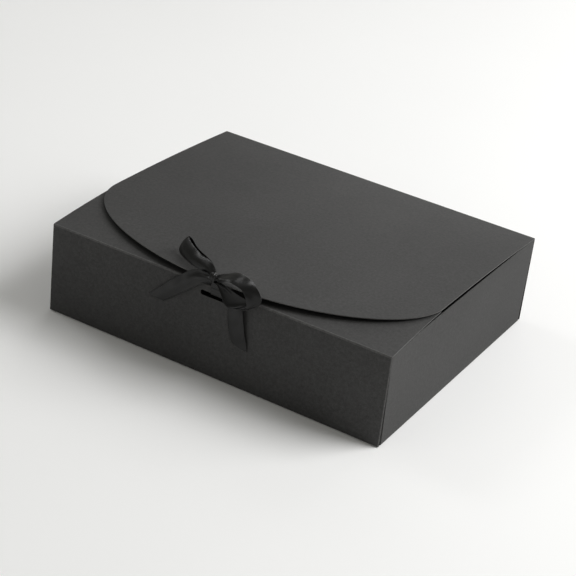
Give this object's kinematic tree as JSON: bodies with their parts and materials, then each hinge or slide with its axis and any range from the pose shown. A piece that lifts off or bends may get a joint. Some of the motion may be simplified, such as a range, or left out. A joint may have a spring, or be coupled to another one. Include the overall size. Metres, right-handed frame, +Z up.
{
  "type": "gift box",
  "caption": "Folding card gift box with a curved lid flap, an inner front flap and a satin ribbon bow at the front.",
  "frame": {"origin": "centre of the box's flat underside", "axes": "+X along the length, from the left wall to the right wall; -Y is the front, where the bow is; +Z up"},
  "size_m": [0.31, 0.2669, 0.1024],
  "materials": {
    "card": "uncoated black kraft card, matt, with a faint fibre grain",
    "tape": "double-sided adhesive tape",
    "ribbon": "black single-face satin ribbon with a soft sheen"
  },
  "bodies": {
    "root": {"bottom_panel": "card", "front_wall": "card", "back_wall": "card", "left_wall": "card", "right_wall": "card", "front_left_tab": "card", "front_right_tab": "card", "back_left_tab": "card", "back_right_tab": "card", "front_left_tape": "tape", "front_right_tape": "tape", "back_left_tape": "tape", "back_right_tape": "tape", "ribbon_slot_run": "ribbon"},
    "lid": {"lid_flap": "card", "ribbon_front_end": "ribbon", "ribbon_lid_run": "ribbon", "ribbon_knot": "ribbon", "ribbon_left_loop": "ribbon", "ribbon_right_loop": "ribbon", "ribbon_left_tail": "ribbon", "ribbon_right_tail": "ribbon"},
    "flap": {"inner_flap": "card"}
  },
  "joints": [
    {"name": "lid_hinge", "type": "hinge", "parent": "root", "child": "lid", "pos_m": [0, 0.1275, 0.0783], "axis": [-1, 0, 0], "range_deg": [0, 170]},
    {"name": "flap_hinge", "type": "hinge", "parent": "root", "child": "flap", "pos_m": [0, -0.1275, 0.0783], "axis": [1, 0, 0], "range_deg": [0, 102]}
  ],
  "couplings": [
    {"joint": "flap_hinge", "follows": "lid_hinge", "ratio": 0.6}
  ]
}
